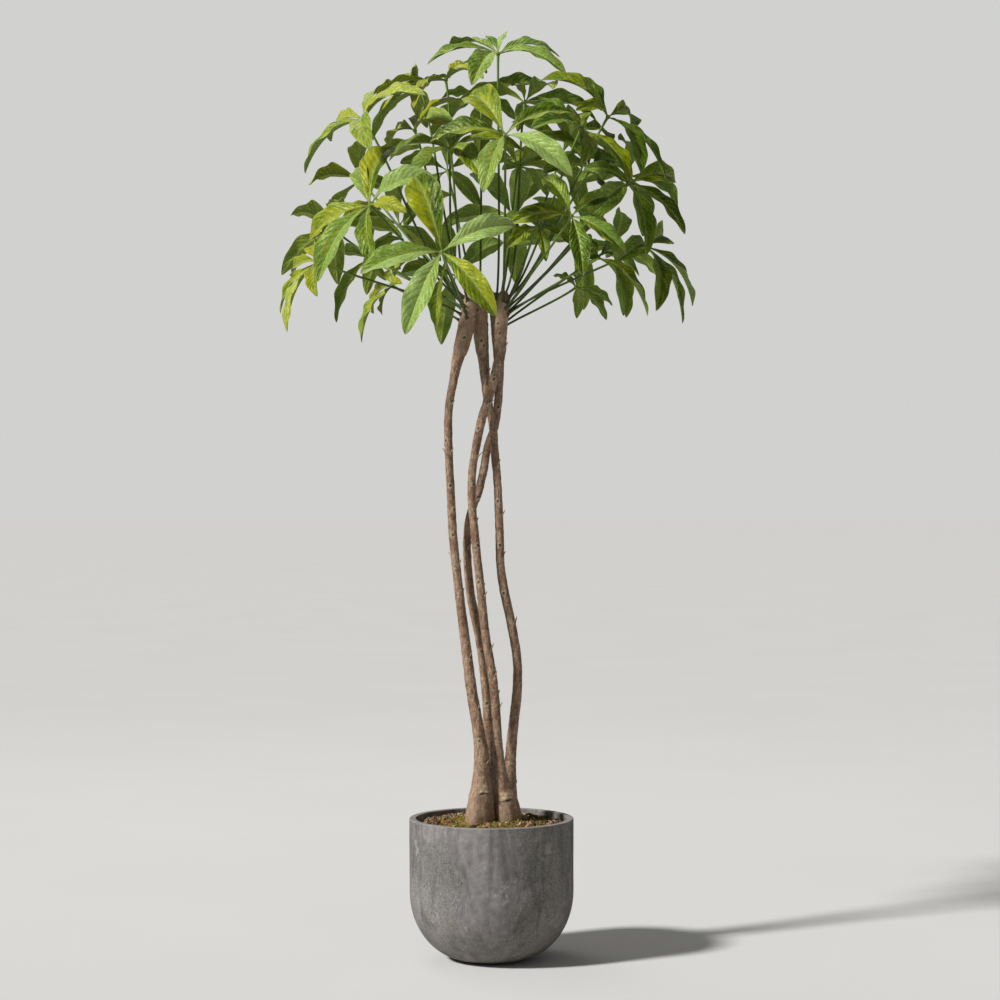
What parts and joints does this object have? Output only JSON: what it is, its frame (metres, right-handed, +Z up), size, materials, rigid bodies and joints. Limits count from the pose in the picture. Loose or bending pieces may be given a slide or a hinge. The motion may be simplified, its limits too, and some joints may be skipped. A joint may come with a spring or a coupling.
{
  "type": "potted money tree",
  "caption": "Tall indoor money tree: slim braided stems with swollen bases rise from soil in a round-bottomed concrete planter and carry a domed crown of hand-shaped leaves.",
  "frame": {"origin": "centre of the flat spot under the planter, on the surface that the planter stands on", "axes": "+Z up, -Y towards the viewer of the reference view, +X to that viewer's right"},
  "size_m": [0.7665, 0.7542, 1.7023],
  "materials": {
    "concrete": "matte",
    "soil": "matte",
    "bark": "matte",
    "leaf": "satin"
  },
  "bodies": {
    "root": {"pot": "concrete", "soil": "soil", "trunk_left": "bark", "trunk_front": "bark", "trunk_rear": "bark", "trunk_right": "bark", "leaf_01": "leaf", "leaf_02": "leaf", "leaf_03": "leaf", "leaf_04": "leaf", "leaf_05": "leaf", "leaf_06": "leaf", "leaf_07": "leaf", "leaf_08": "leaf", "leaf_09": "leaf", "leaf_10": "leaf", "leaf_11": "leaf", "leaf_12": "leaf", "leaf_13": "leaf", "leaf_14": "leaf", "leaf_15": "leaf", "leaf_16": "leaf", "leaf_17": "leaf", "leaf_18": "leaf", "leaf_19": "leaf", "leaf_20": "leaf", "leaf_21": "leaf", "leaf_22": "leaf", "leaf_23": "leaf", "leaf_24": "leaf", "leaf_25": "leaf", "leaf_26": "leaf", "leaf_27": "leaf", "leaf_28": "leaf", "leaf_29": "leaf", "leaf_30": "leaf", "leaf_31": "leaf", "leaf_32": "leaf", "leaf_33": "leaf", "leaf_34": "leaf", "leaf_35": "leaf"}
  },
  "joints": []
}
